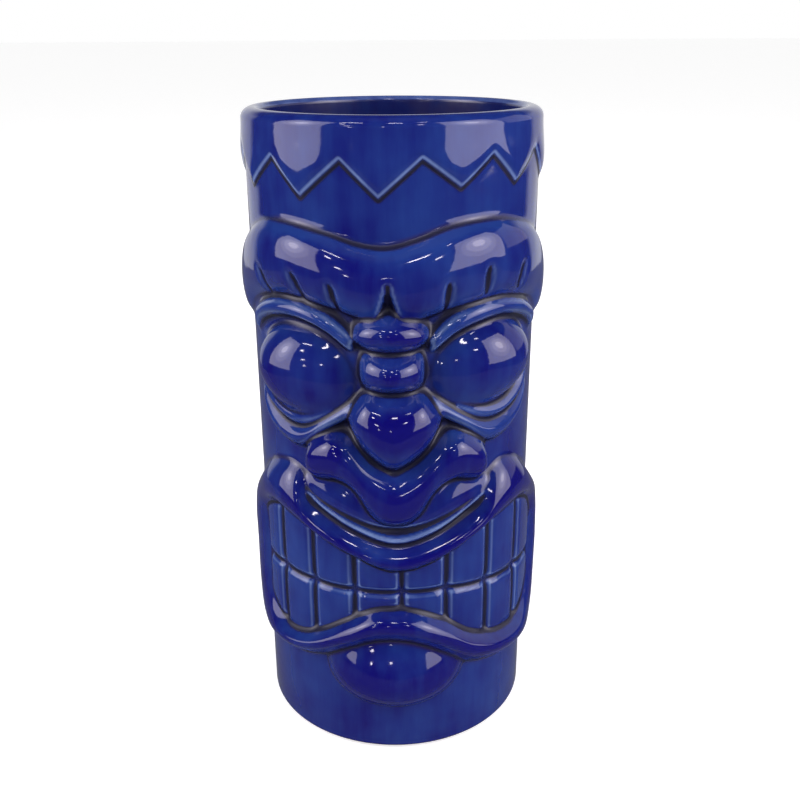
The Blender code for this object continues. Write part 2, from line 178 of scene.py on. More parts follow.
# Each form is a ladder of rungs: u and z on its lower edge, u and z on its upper edge, and
# how far it stands out between them.
BROW = [
    (-76.0, 127.0, -76.0, 130.5, 0.9), (-66.0, 121.0, -66.0, 135.5, 1.9),
    (-55.0, 119.2, -55.0, 138.9, 2.6), (-44.7, 125.6, -44.0, 143.8, 2.8),
    (-36.0, 128.8, -35.5, 146.8, 3.8), (-25.5, 130.2, -26.0, 147.0, 5.0),
    (-15.2, 128.4, -15.6, 145.3, 5.6), (-7.0, 126.2, -7.5, 143.1, 6.0),
    (-1.2, 125.9, -1.2, 142.6, 6.2), (5.1, 125.9, 5.2, 144.2, 6.0),
    (15.2, 128.5, 14.0, 147.0, 5.6), (25.5, 129.5, 25.0, 147.8, 5.0),
    (36.0, 127.8, 36.0, 146.0, 3.8), (44.7, 125.2, 44.0, 143.4, 2.7),
    (55.0, 118.6, 55.0, 137.9, 2.5), (66.0, 120.5, 66.0, 134.9, 1.9),
    (76.0, 127.0, 76.0, 130.0, 0.9),
]
# The cleft over the nose: its peak, its half width at its foot, and its foot; how it
# flares downwards, closes above its peak and slopes at its sides.
CLEFT = ((-1.2, 135.4), 3.6, 124.0)
CLEFT_FLARE = 1.5
CLEFT_CLOSING = 1.2
CLEFT_SIDES = (-0.5, 0.6)
# Slits in the brow's lower half: (u, z) at the top, (u, z) at the bottom, half width.
SLITS = [
    ((-34.8, 136.2), (-33.9, 128.6), 0.6), ((-23.2, 137.4), (-21.8, 129.0), 0.7),
    ((-13.6, 135.6), (-12.9, 127.8), 0.7), ((11.6, 135.8), (12.0, 127.8), 0.7),
    ((21.2, 138.6), (21.9, 131.0), 0.7), ((33.1, 137.4), (32.7, 130.6), 0.6),
]
# A slit's depth, its width's share at its ends and its gain in the middle, and the stretch
# over which it deepens.
SLIT_DEPTH = 3.2
SLIT_ENDS = 0.45
SLIT_SWELL = 0.6
SLIT_START = (-0.1, 0.3)

UPPER_LID_LEFT = [
    (-43.6, 117.2, -45.4, 119.8, 1.2), (-39.2, 121.2, -40.8, 124.6, 2.6),
    (-32.5, 124.0, -33.2, 128.0, 3.2), (-25.0, 124.8, -25.2, 129.0, 3.4),
    (-17.0, 122.8, -16.2, 127.2, 3.6), (-10.2, 117.8, -9.0, 121.6, 3.0),
]
UPPER_LID_RIGHT = [
    (9.0, 117.6, 8.0, 121.4, 3.0), (15.6, 122.6, 14.8, 127.2, 3.6),
    (25.5, 124.8, 25.4, 129.0, 3.4), (33.5, 123.6, 33.6, 127.6, 3.2),
    (40.6, 120.4, 41.8, 124.0, 2.6), (44.6, 116.8, 46.2, 119.4, 1.2),
]
# Domes: middle (u, z), half width, half height, how far they stand out, how much of that
# leans towards the rising u and the rising z, and their tilt in degrees.
DOMES = {
    "eye_left": ((-24.4, 110.7), 14.8, 11.6, 6.9, (-0.35, 0.0), -10.0),
    "eye_right": ((24.0, 112.7), 15.2, 10.8, 6.9, (0.35, 0.0), 10.0),
    "chin": ((-0.3, 27.6), 19.0, 11.8, 6.6, (0.0, -0.4), 0.0),
}
DOME_STEEPNESS = 0.75

LOWER_LID_LEFT = [
    (-40.8, 108.6, -39.8, 110.8, 1.2), (-39.0, 102.2, -36.4, 104.8, 2.2),
    (-32.4, 98.6, -31.2, 101.6, 2.8), (-26.4, 97.0, -26.0, 100.4, 3.0),
    (-20.6, 98.2, -21.0, 100.8, 2.8), (-14.6, 102.0, -15.2, 103.6, 1.8),
]
LOWER_LID_RIGHT = [
    (14.6, 102.8, 15.2, 104.4, 1.8), (20.6, 99.4, 20.8, 102.4, 2.8),
    (26.6, 98.4, 26.4, 101.8, 3.0), (33.0, 99.8, 32.0, 103.0, 2.8),
    (39.4, 103.6, 37.4, 106.4, 2.2), (41.4, 109.8, 40.4, 112.0, 1.2),
]
CHEEK_FOLD_LEFT = [
    (-41.8, 98.4, -43.0, 103.0, 1.0), (-36.4, 93.8, -37.6, 99.0, 1.9),
    (-29.6, 91.4, -29.8, 96.2, 2.5), (-24.2, 91.3, -23.2, 96.4, 3.0),
    (-17.8, 96.4, -16.2, 100.5, 3.4), (-11.3, 100.6, -9.5, 105.6, 3.0),
]
CHEEK_FOLD_RIGHT = [
    (11.0, 101.2, 8.8, 106.8, 3.0), (17.4, 97.2, 16.2, 101.4, 3.4),
    (24.0, 92.4, 23.2, 97.8, 3.0), (30.0, 92.4, 29.6, 97.6, 2.5),
    (36.8, 95.4, 37.8, 100.4, 1.9), (42.0, 100.2, 43.2, 104.6, 1.0),
]
BRIDGE_UPPER = [
    (-9.3, 121.6, -9.3, 123.9, 2.8), (-7.6, 119.5, -7.8, 125.8, 4.8),
    (-4.2, 118.6, -4.6, 127.0, 6.6), (-0.8, 118.3, -1.0, 127.8, 7.4),
    (2.8, 118.6, 2.8, 127.0, 6.6), (6.2, 119.5, 6.0, 125.8, 4.8),
    (7.9, 121.6, 7.9, 123.9, 2.8),
]
BRIDGE_LOWER = [
    (-7.9, 111.8, -7.9, 115.6, 2.8), (-6.9, 109.2, -6.9, 117.9, 4.6),
    (-3.8, 108.5, -3.8, 118.4, 7.0), (-0.6, 108.4, -0.6, 118.4, 8.2),
    (2.8, 108.5, 2.8, 118.4, 7.0), (6.0, 109.2, 6.0, 117.9, 4.6),
    (7.0, 111.8, 7.0, 115.6, 2.8),
]
NOSE_TIP = [
    (-10.6, 99.4, -10.4, 102.0, 3.6), (-8.9, 95.9, -9.0, 105.6, 5.8),
    (-5.4, 91.5, -6.2, 108.1, 8.4), (-0.2, 88.0, -0.4, 108.2, 10.2),
    (5.4, 91.5, 5.8, 108.1, 8.4), (9.1, 95.9, 8.7, 105.6, 5.8),
    (10.8, 99.6, 10.6, 102.2, 3.6),
]
NOSTRIL_WINGS = [
    (-22.3, 85.8, -22.4, 89.6, 2.6), (-21.2, 83.8, -21.9, 92.2, 4.6),
    (-18.2, 83.5, -19.4, 95.2, 6.0), (-14.4, 84.0, -14.9, 97.0, 6.6),
    (-10.6, 82.5, -11.2, 96.4, 6.6), (-8.0, 79.4, -8.2, 93.6, 6.7),
    (-6.0, 75.6, -5.4, 90.2, 6.9), (-3.4, 73.1, -2.6, 88.2, 7.1),
    (0.1, 72.2, -0.1, 87.0, 7.2), (3.6, 73.1, 2.5, 88.2, 7.1),
    (6.1, 75.6, 5.4, 90.2, 6.9), (8.1, 79.4, 8.4, 93.4, 6.7),
    (10.8, 82.5, 11.6, 96.4, 6.6), (14.8, 84.0, 15.0, 97.2, 6.6),
    (19.0, 83.0, 19.8, 94.8, 6.0), (22.0, 82.8, 23.0, 91.6, 4.6),
    (23.2, 84.6, 23.4, 88.6, 2.6),
]
MOUSTACHE_UPPER = [
    (-23.8, 80.2, -24.0, 83.0, 1.4), (-19.2, 77.6, -17.6, 83.4, 2.2),
    (-10.6, 74.0, -8.6, 80.6, 2.6), (-4.6, 71.8, -4.4, 75.0, 2.4),
    (0.0, 71.0, 0.0, 72.9, 1.6), (4.6, 71.6, 4.4, 74.8, 2.4),
    (10.6, 73.4, 8.6, 80.2, 2.6), (19.2, 76.9, 17.6, 82.8, 2.2),
    (25.0, 79.4, 25.2, 82.0, 1.4),
]
MOUSTACHE_LOWER = [
    (-22.6, 78.0, -23.2, 79.6, 2.4), (-18.4, 74.9, -18.4, 77.0, 3.4),
    (-9.0, 70.0, -8.6, 72.4, 3.8), (0.0, 67.2, 0.0, 69.4, 4.2),
    (9.0, 69.4, 8.6, 71.8, 3.8), (18.4, 74.4, 18.4, 76.4, 3.4),
    (23.6, 77.8, 24.2, 79.4, 2.4),
]
UPPER_LIP = [
    (-43.9, 52.2, -62.5, 52.2, 2.9), (-43.8, 60.5, -60.6, 60.2, 3.0),
    (-42.7, 66.2, -55.0, 68.6, 3.0), (-38.5, 69.9, -46.8, 75.8, 3.4),
    (-33.5, 71.3, -38.6, 82.4, 4.3), (-29.0, 70.6, -30.6, 84.8, 5.0),
    (-25.2, 69.3, -24.4, 82.6, 5.2), (-20.0, 67.3, -21.0, 75.8, 5.2),
    (-10.0, 62.8, -11.0, 70.4, 5.4), (0.0, 59.1, 0.0, 66.8, 5.6),
    (10.0, 61.7, 11.0, 69.4, 5.4), (20.0, 66.8, 20.8, 74.4, 5.2),
    (25.4, 68.9, 24.4, 80.8, 5.2), (30.0, 70.3, 30.8, 84.6, 5.0),
    (36.0, 71.0, 38.6, 82.4, 4.3), (42.6, 69.2, 47.4, 75.2, 3.6),
    (48.0, 64.4, 56.0, 68.4, 3.3), (50.9, 58.0, 61.4, 59.6, 3.6),
    (51.4, 50.8, 63.0, 50.8, 3.8),
]
LOWER_LIP = [
    (-62.5, 52.2, -43.9, 52.2, 2.9), (-62.0, 40.0, -43.8, 44.6, 3.0),
    (-57.0, 28.5, -41.0, 39.2, 3.1), (-48.0, 25.4, -36.0, 35.6, 3.6),
    (-38.0, 26.6, -30.4, 34.5, 4.8), (-29.0, 27.1, -24.6, 35.7, 5.2),
    (-20.6, 29.3, -19.0, 38.6, 5.5), (-13.0, 33.2, -12.6, 43.0, 5.8),
    (-6.0, 36.5, -5.8, 46.8, 6.0), (0.0, 37.1, 0.0, 47.5, 6.0),
    (6.0, 35.5, 6.0, 46.2, 6.0), (12.4, 31.4, 13.0, 42.4, 5.8),
    (19.6, 26.7, 20.0, 37.0, 5.5), (29.0, 24.3, 28.6, 33.5, 5.2),
    (39.0, 23.0, 38.0, 33.0, 4.8), (49.0, 21.8, 45.0, 35.8, 3.6),
    (57.6, 27.2, 49.6, 42.0, 3.5), (62.2, 39.0, 51.2, 46.4, 3.7),
    (63.0, 50.8, 51.4, 50.8, 3.8),
]
# Each ladder with its section's fullness, power and lean (under 1, its top is nearer the
# lower edge), and whether its rungs crowd at both ends.
LADDERS = {
    "brow": (BROW, 2.0),
    "upper_eyelid_left": (UPPER_LID_LEFT, 4.0),
    "upper_eyelid_right": (UPPER_LID_RIGHT, 4.0),
    "lower_eyelid_left": (LOWER_LID_LEFT, 2.2),
    "lower_eyelid_right": (LOWER_LID_RIGHT, 2.2),
    "cheek_fold_left": (CHEEK_FOLD_LEFT, 3.0),
    "cheek_fold_right": (CHEEK_FOLD_RIGHT, 3.0),
    "nose_bridge_upper": (BRIDGE_UPPER, 2.0, 0.5, 1.0, True),
    "nose_bridge_lower": (BRIDGE_LOWER, 2.0, 0.5, 1.0, True),
    "nose_tip": (NOSE_TIP, 2.0, 0.5, 1.0, True),
    "nostril_wings": (NOSTRIL_WINGS, 2.3),
    "moustache_upper": (MOUSTACHE_UPPER, 2.0, 0.5, 0.45),
    "moustache_lower": (MOUSTACHE_LOWER, 2.0),
    "upper_lip": (UPPER_LIP, 1.9, 0.75, 0.75),
    "lower_lip": (LOWER_LIP, 2.1, 0.6, 1.45),
}

# Colours, linear RGB: the glaze where it is thick, where it is thinner, where it pools in a
# groove (near black, partly pooled glaze and partly painted shade), where it breaks over an edge
# (partly broken glaze and partly a painted highlight), and the bare clay of the foot.
THICK_GLAZE = (0.0034, 0.0026, 0.103)
THIN_GLAZE = (0.0120, 0.0330, 0.176)
POOLED_GLAZE_AND_SHADE = (0.002, 0.002, 0.024)
BROKEN_GLAZE_AND_HIGHLIGHT = (0.130, 0.195, 0.380)
WARM_GLAZE = (0.040, 0.014, 0.040)
CLAY = (0.62, 0.55, 0.46)
CLAY_SPECKLE = (0.34, 0.26, 0.19)

# The glaze's patterns, as (scale, detail, roughness); its streaks run down the wall.
STREAK_STRETCH = (260.0, 260.0, 36.0)
STREAK_NOISE = (1.0, 4.0, 0.6)
CLOUD_NOISE = (48.0, 3.0, 0.55)
SPECK_NOISE = (900.0, 2.0, 0.5)
WAVE_NOISE = (210.0, 1.0, 0.4)
# What each pattern or layer does, as (low, high, effect at low, effect at high).
CLOUD_THIN = (0.32, 0.7, -0.4, 0.32)
STREAK_THIN = (0.35, 0.7, -0.13, 0.23)
STREAK_BREAK = (0.3, 0.6, 0.6, 1.0)
# Painted shade: how far the pool-and-shade layer darkens the glaze towards near black.
POOL_AND_SHADE_DARK = (0.12, 0.75)
POOL_WARM = (0.08, 0.4)
CLOUD_WARM = (0.5, 0.62)
WARM_SHARE = 0.4
SPECK_ROUGH = (0.35, 0.75, 0.05, 0.1)
POOL_ROUGH = (0.2, 0.7, 0.0, 0.34)
GLAZE_BUMP = {"Strength": 0.22, "Distance": 0.0002}
SPECK_BUMP = 0.12
GLAZE_IOR = 1.55

CLAY_SPECKS = (1600.0, 2.0, 0.6)
CLAY_STAINS = (60.0, 4.0, 0.6)
SPECKS_SHOW = (0.58, 0.72)
STAINS_SHOW = (0.5, 0.8, 0.0, 0.4)
STAINS_ROUGH = (0.3, 0.7, 0.75, 0.95)
CLAY_BUMP = {"Strength": 0.5, "Distance": 0.0001}

# Camera: place, downward tilt, turn, roll and lens.
CAMERA_AT = (0.0, -0.2555, 0.1887)
CAMERA_TILT = 20.9
CAMERA_TURN = 0.36
CAMERA_ROLL = -0.33
CAMERA_LENS = 43.18

# The floor's side in metres, its grain, and the light that it adds for the camera only.
FLOOR_SIDE = 60.0
FLOOR_GRAIN = (30.0, 2.0, 0.5)
FLOOR_TONES = (0.3, 0.7, 0.8, 0.84)
FLOOR_ROUGHNESS = 0.9
FLOOR_LIFT = 0.5
# The stretch of table that the glaze mirrors, and how light it looks there.
TABLE_FRONT = 0.31
TABLE_SIDE = 0.33
TABLE_REAR = 1.2
TABLE_TONE = 0.36

# Lamps face a point this high, in metres; their power in watts is so many times their
# radiance and area.
AIM_HEIGHT = 0.1
WATTS = 4.0
# Small lamps: azimuth and elevation in degrees, size in metres, radiance.
SMALL_LAMP_DISTANCE = 1.3
SMALL_LAMPS = [
    (-38.0, 52.0, (0.3, 0.035), 22.0),
    (-40.0, 37.0, (0.09, 0.07), 18.0),
    (-33.0, 20.0, (0.12, 0.05), 16.0),
    (-30.0, 9.0, (0.05, 0.05), 16.0),
    (-6.0, 13.0, (0.05, 0.05), 16.0),
    (3.0, 50.0, (0.16, 0.06), 22.0),
    (22.0, 31.0, (0.1, 0.06), 16.0),
    (30.0, 55.0, (0.12, 0.03), 18.0),
]

# A weak panel at the right: azimuth, elevation, distance, size and radiance.
PANEL_RIGHT = (108.5, 22.0, 0.95, (0.6, 0.6), 0.55)

# The two softboxes' azimuths and widths, and what they share.
SOFTBOXES = {"softbox_left": (-73.0, 0.71), "softbox_right": (63.0, 0.84)}
SOFTBOX_DISTANCE = 0.9
SOFTBOX_BOTTOM = 0.045
SOFTBOX_TOP = 1.18
SOFTBOX_RADIANCE = 2.2
SOFTBOX_TINT = (1.0, 0.925, 0.985)
# Each is brighter towards its middle: shares of its size, what each adds, and the share of
# the distance between them.
SOFTBOX_CORES = ((0.72, 0.5), (0.5, 0.8), (0.25, 2.0))
SOFTBOX_LAYER = 0.004

# What the glaze mirrors behind the mug, how that ends upwards, and what it mirrors right
# above, as the patterns are; and the light from all round.
BEHIND_MIRRORED = (0.56, 0.66, 0.05, 0.8)
BEHIND_ENDS = (0.3, 0.45, 1.0, 0.05)
ABOVE_MIRRORED = (0.9, 0.98, 0.0, 0.1)
STUDIO_FILL = 0.6


# ---------------- curves and profiles

def curve_through(points, shares):
    """Smooth values at each share of the way along points, as an array of rows."""
    points = np.array(points, float)
    padded = np.vstack([points[:1], points, points[-1:]])
    place = np.asarray(shares) * (len(points) - 1)
    span = np.minimum(place.astype(int), len(points) - 2)
    t = (place - span)[:, None]
    before, start, stop, after = (padded[span + step] for step in range(4))
    drift = (stop - before) / 2.0
    arrival = (after - start) / 2.0
    cubic = 2.0 * start - 2.0 * stop + drift + arrival
    square = 3.0 * stop - 3.0 * start - 2.0 * drift - arrival
    return cubic * t**3 + square * t**2 + drift * t + start


def bulge(share, fullness, power):
    """0 at both ends of the unit span and 1 in its middle: a half round at (2, 0.5), flatter
    when fuller, and gentler at its ends with a higher power."""
    inside = np.clip(1.0 - np.abs(2.0 * share - 1.0) ** fullness, 0.0, 1.0)
    return inside**power


def shoulder(distance, rounding):
    """0 at an edge, rising in a quarter round to 1 at rounding from it."""
    return np.sqrt(1.0 - (1.0 - np.clip(distance / rounding, 0.0, 1.0)) ** 2)


def smooth_step(value, low, high):
    share = np.clip((value - low) / (high - low), 0.0, 1.0)
    return share * share * (3.0 - 2.0 * share)


def to_segment(u, z, start, stop):
    """Each place's distance from a segment, and its share of the way along."""
    along = np.array(stop) - np.array(start)
    share = ((u - start[0]) * along[0] + (z - start[1]) * along[1]) / (along @ along)
    share = np.clip(share, 0.0, 1.0)
    gap_u = u - start[0] - share * along[0]
    gap_z = z - start[1] - share * along[1]
    return np.hypot(gap_u, gap_z), share


def arc(centre, radius, start, stop, steps):
    """(r, z) points from start to stop degrees round centre, from +r towards +z."""
    angles = np.radians(np.linspace(start, stop, steps + 1))
    return [(centre[0] + radius * cos(a), centre[1] + radius * sin(a)) for a in angles]


# ---------------- the height field

def grid_lines():
    """The fine grid's u and z, and the columns and rows of it that the meshes keep."""
    face = FACE_STEP * round(2.0 * FACE_REACH / (FACE_STEP * FINE))
    rear = REAR_STEP * round((TURN - 2.0 * FACE_REACH) / (REAR_STEP * FINE))
    low = BASE + HEEL
    high = HEIGHT - SHOULDER
    tall = FACE_STEP * round((high - low) / (FACE_STEP * FINE))
    us = -FACE_REACH + np.arange(face + rear) * TURN / (face + rear)
    zs = np.linspace(low, high, tall + 1)
    columns = [np.arange(0, face, FACE_STEP), np.arange(face, face + rear, REAR_STEP)]
    return us, zs, np.concatenate(columns), np.arange(0, tall + 1, FACE_STEP)


def ladder_surface(rungs, fullness, power=0.5, lean=1.0, crowd=False):
    """A ladder as a fine net of (u, z, height) points, and the net's faces."""
    shares = np.linspace(0.0, 1.0, NET_PER_RUNG * len(rungs))
    if crowd:
        shares = (1.0 - np.cos(pi * shares)) / 2.0
    low_u, low_z, high_u, high_z, rise = curve_through(rungs, shares).T[:, :, None]
    across = (1.0 - np.cos(pi * np.linspace(0.0, 1.0, NET_ACROSS)))[None, :] / 2.0
    u = low_u + (high_u - low_u) * across
    z = low_z + (high_z - low_z) * across
    height = rise * bulge(across**lean, fullness, power)
    return net(u, z, height)


def dome_surface(middle, half_width, half_height, rise, lean, tilt):
    """A dome as a fine net of (u, z, height) points, and the net's faces."""
    turn = np.linspace(0.0, tau, NET_ROUND)[None, :]
    out = np.sin(np.linspace(0.0, pi / 2.0, NET_ACROSS))[:, None]
    across = half_width * out * np.cos(turn)
    up = half_height * out * np.sin(turn)
    slope, level = sin(radians(tilt)), cos(radians(tilt))
    u = middle[0] + across * level - up * slope
    z = middle[1] + across * slope + up * level
    cap = np.clip(1.0 - out**2, 0.0, 1.0) ** DOME_STEEPNESS
    shift = 1.0 + out * (lean[0] * np.cos(turn) + lean[1] * np.sin(turn))
    return net(u, z, rise * cap * shift)


def net(u, z, height):
    """A grid of points as a list of them, and its four-sided faces."""
    rows, columns = u.shape
    points = np.stack([u, z, height], axis=2).reshape(-1, 3)
    index = np.arange(rows * columns).reshape(rows, columns)
    corners = [index[:-1, :-1], index[1:, :-1], index[1:, 1:], index[:-1, 1:]]
    return points, np.stack(corners, axis=2).reshape(-1, 4)


def heights_of(surface, us, zs):
    """How high a net stands over each (u, z) of a fine grid, and nan off it."""
    points, faces = surface
    tree = BVHTree.FromPolygons(points.tolist(), faces.tolist())
    found = np.full((len(zs), len(us)), np.nan)
    (low_u, low_z, _), (high_u, high_z, _) = points.min(0), points.max(0)
    columns = np.nonzero((us >= low_u) & (us <= high_u))[0]
    rows = np.nonzero((zs >= low_z) & (zs <= high_z))[0]
    down = Vector((0.0, 0.0, -1.0))
    for row in rows:
        for column in columns:
            hit = tree.ray_cast(Vector((us[column], zs[row], OVERHEAD)), down)[0]
            if hit is not None:
                found[row, column] = hit.z
    return found


def hem_corners():
    """The hem's peaks and dips all the way round, u rising from the first."""
    corners = list(HEM_FRONT)
    start = corners[-1][0]
    step = (corners[0][0] + TURN - start) / HEM_REAR_STEPS
    for index in range(1, HEM_REAR_STEPS):
        corners.append((start + step * index, HEM_DIP if index % 2 else HEM_PEAK))
    corners.append((corners[0][0] + TURN, corners[0][1]))
    return corners


def above_hem(us, zs):
    """Each place's distance from the hem, positive on the crown band."""
    corners = hem_corners()
    first = corners[0][0]
    u, z = np.meshgrid((us - first) % TURN + first, zs)
    nearest = np.full(z.shape, np.inf)
    for shift in (-TURN, 0.0, TURN):
        moved = [(place + shift, level) for place, level in corners]
        for start, stop in zip(moved, moved[1:]):
            nearest = np.minimum(nearest, to_segment(u, z, start, stop)[0])
    line = np.interp(u[0], *zip(*corners))
    return np.where(z >= line[None, :], nearest, -nearest)


def crown(us, zs):
    """The crown band's height, and each place's distance from its hem."""
    low = np.searchsorted(zs, HEM_DIP - HEM_SEARCH)
    beyond = np.full((len(zs), len(us)), FAR_BELOW)
    beyond[low:] = above_hem(us, zs[low:])
    taper = 1.0 - CROWN_TOP_SHARE * smooth_step(zs, HEM_PEAK - TAPER_DROP, zs[-1])[:, None]
    band = CROWN_RISE * shoulder(beyond, CROWN_ROUNDING) * taper
    return band, beyond


def lip_edges(us):
    """The mouth's opening at each u: its floor and its roof, crossed where it is shut."""
    shares = np.linspace(0.0, 1.0, 400)
    upper = curve_through(UPPER_LIP, shares)
    lower = curve_through(LOWER_LIP, shares)
    roof = np.interp(us, upper[:, 0], upper[:, 1], left=0.0, right=0.0)
    ground = np.interp(us, lower[:, 2], lower[:, 3], left=HEIGHT, right=HEIGHT)
    return ground, roof


def teeth(us, zs):
    """{tooth name: heights}, each tooth between its grooves and the lips."""
    u, z = np.meshgrid(us, zs)
    ground, roof = lip_edges(us)
    bite = np.interp(us, *zip(*BITE_LINE))[None, :]
    forms = {}
    for number, (left, right) in enumerate(zip(TOOTH_GROOVES, TOOTH_GROOVES[1:]), start=1):
        sides = np.minimum(u - left, right - u)
        for name, ends in (
            ("upper", np.minimum(z - bite, roof[None, :] - z)),
            ("lower", np.minimum(bite - z, z - ground[None, :])),
        ):
            inward = np.minimum(sides, ends) - TOOTH_GROOVE
            height = TOOTH_RISE * shoulder(inward, TOOTH_ROUNDING)
            forms[f"{name}_tooth_{number}"] = np.where(inward > 0.0, height, np.nan)
    return forms


def cut_brow(height, us, zs):
    """The brow's height with its cleft and slits cut in it."""
    u, z = np.meshgrid(us, zs)
    (peak_u, peak_z), half_width, foot_z = CLEFT
    down = np.clip((peak_z - z) / (peak_z - foot_z), 0.0, 1.0)
    outside = np.abs(u - peak_u) - half_width * down**CLEFT_FLARE
    outside += CLEFT_CLOSING * (z > peak_z)
    height = height * smooth_step(outside, *CLEFT_SIDES)
    for top, bottom, half_width in SLITS:
        distance, share = to_segment(u, z, top, bottom)
        width = half_width * (SLIT_ENDS + SLIT_SWELL * np.sin(pi * share))
        depth = SLIT_DEPTH * smooth_step(share, *SLIT_START)
        height = height - depth * np.exp(-((distance / width) ** 2))
    return np.where(np.isnan(height), np.nan, np.maximum(height, 0.0))


def blur(field, sigma):
    """A fine field softened by a bell sigma wide: up and down, then round the wall."""
    reach = int(np.ceil(3.0 * sigma / FINE))
    bell = np.exp(-0.5 * (np.arange(-reach, reach + 1) * FINE / sigma) ** 2)
    bell /= bell.sum()
    for axis, mode in ((0, "edge"), (1, "wrap")):
        padding = [(reach, reach) if side == axis else (0, 0) for side in (0, 1)]
        padded = np.pad(field, padding, mode=mode)
        length = field.shape[axis]
        shifted = (np.take(padded, range(k, k + length), axis) for k in range(2 * reach + 1))
        field = sum(weight * part for weight, part in zip(bell, shifted))
    return field


def sculpt():
    """The kept columns and rows, and over them the finished height, the glaze's layers,
    the form that owns each cell, and the forms' names."""
    us, zs, columns, rows = grid_lines()
    forms = {}
    for name, ladder in LADDERS.items():
        forms[name] = heights_of(ladder_surface(*ladder), us, zs)
    for name, dome in DOMES.items():
        forms[name] = heights_of(dome_surface(*dome), us, zs)
    forms["brow"] = cut_brow(forms["brow"], us, zs)
    forms.update(teeth(us, zs))
    names = [*forms, "crown_band"]
    stack = np.stack([np.nan_to_num(form, nan=-1.0) for form in forms.values()])
    owner = stack.argmax(axis=0)
    tallest = stack.max(axis=0)
    owner[tallest < 0.0] = -1
    tallest = np.maximum(tallest, 0.0)
    standing = (tallest > FORM_STANDS).astype(float)
    covered = smooth_step(blur(standing, VALLEY_REACH), *VALLEY_COVER)
    valleys = VALLEY_SHARE * covered * blur(tallest, VALLEY_REACH)
    band, beyond = crown(us, zs)
    owner[beyond > 0.0] = len(forms)
    raw = np.maximum(tallest, valleys) + band
    kept = np.ix_(rows, columns)
    layers = glaze_layers(raw, tallest + band, owner, names)
    layers["hem"] = np.clip(beyond + HEM_REACH, 0.0, 2.0 * HEM_REACH)
    layers = {name: layer[kept] for name, layer in layers.items()}
    column_middles = (columns + np.append(columns[1:], len(us))) // 2
    row_middles = (rows[:-1] + rows[1:]) // 2
    owners = tidy_owners(owner[np.ix_(row_middles, column_middles)])
    return us[columns], zs[rows], blur(raw, GLAZE_FLOW)[kept], layers, owners, names


def glaze_layers(raw, bare, owner, names):
    """How deep in a groove (pooled glaze and painted shade), how pale an edge (broken glaze
    and a painted highlight) and how thinly glazed each place is.
    """
    clay = blur(raw, CLAY_EDGE)
    rise, run = np.gradient(clay, FINE)
    facing = 1.0 / np.sqrt(1.0 + rise**2 + run**2)
    kinds = []
    for name in names:
        known = [kind for word, kind in KINDS.items() if word in name]
        kinds.append(known[0] if known else PLAIN_KIND)
    pale, thin = np.transpose([*kinds, (0.0, WALL_THIN)])
    paleness = blur(np.take(pale, owner), CLAY_EDGE)
    stand = np.clip(blur(clay, STAND_REACH) / FULL_STAND, 0.0, 1.0)
    thinness = blur(np.take(thin, owner), THIN_REACH) * (LOW_SHARE - STAND_SHARE * stand)
    rise, run = np.gradient(blur(clay, THIN_REACH), FINE)
    thinness += STEEP_THIN * (1.0 - 1.0 / np.sqrt(1.0 + rise**2 + run**2))
    # Edges: broken glaze, paled further into a painted highlight.
    sharp = (clay - blur(clay, EDGE_SCALE)) * facing
    bare = blur(bare, CLAY_EDGE)
    # Grooves: pooled glaze, deepened into painted shade where the neighbouring forms would shade
    # them.
    pool_and_shade = blur(bare, POOL_AND_SHADE_REACH) - bare
    return {
        "pool_and_shade": np.clip(pool_and_shade / POOL_AND_SHADE_DEPTH, 0.0, 1.0),
        "edge": smooth_step(sharp, *EDGE_RANGE) * paleness,
        "thin": thinness,
    }


def tidy_owners(owners):
    """The same cells, with none of a form's touching only at a corner."""
    for _ in range(OWNER_ROUNDS):
        beside = np.roll(owners, -1, axis=1)
        here, right, above, across = owners[:-1], beside[:-1], owners[1:], beside[1:]
        rising = (here == across) & (here != right) & (here != above)
        falling = (right == above) & (right != here) & (right != across)
        if not rising.any() and not falling.any():
            break
        rising &= ~falling
        owners = owners.copy()
        owners[:-1][falling] = right[falling]
        owners[1:][rising] = here[rising]
    return owners


# ---------------- the mug's meshes

def place_points(profile, us, height):
    """Points of a turned surface whose profile is pushed out by height."""
    radius = profile[:, :1] + height
    level = profile[:, 1:] + 0.0 * height
    angle = us[None, :] / WALL_RADIUS
    return np.stack([radius * np.sin(angle), -radius * np.cos(angle), level], axis=2) * MM


def cup_profile(zs):
    """The cup's outline from under the base to the middle of its floor, the first of the
    rows that belong to the sculpted wall, and the rows of its inner lip."""
    inner = WALL_RADIUS - WALL_THICKNESS
    heel = (WALL_RADIUS - HEEL, BASE + HEEL)
    points = [(r, BASE) for r in BASE_RINGS]
    points += arc(heel, HEEL, -90.0, 0.0, 6)[:-1]
    first = len(points)
    points += [(WALL_RADIUS, z) for z in zs]
    rim = CROWN_RISE * (1.0 - CROWN_TOP_SHARE)
    middle = WALL_RADIUS - SHOULDER
    for r, z in arc((0.0, 0.0), 1.0, 0.0, 90.0, 14)[1:]:
        points.append((middle + (SHOULDER + rim) * r, zs[-1] + (HEIGHT - zs[-1]) * z))
    lip = slice(len(points) + 1, len(points) + 1 + LIP_ROWS)
    points += arc((inner + INNER_LIP, HEIGHT - INNER_LIP), INNER_LIP, 90.0, 180.0, 10)[1:]
    top, bottom = HEIGHT - INNER_WALL_DROP, FLOOR_TOP + FLOOR_FILLET
    points += [(inner, z) for z in np.linspace(top, bottom, 16)]
    corner = (inner - FLOOR_FILLET, FLOOR_TOP + FLOOR_FILLET)
    points += arc(corner, FLOOR_FILLET, 0.0, -90.0, 12)[1:]
    points += [(r, FLOOR_TOP) for r in FLOOR_RINGS]
    return np.array(points), first, lip


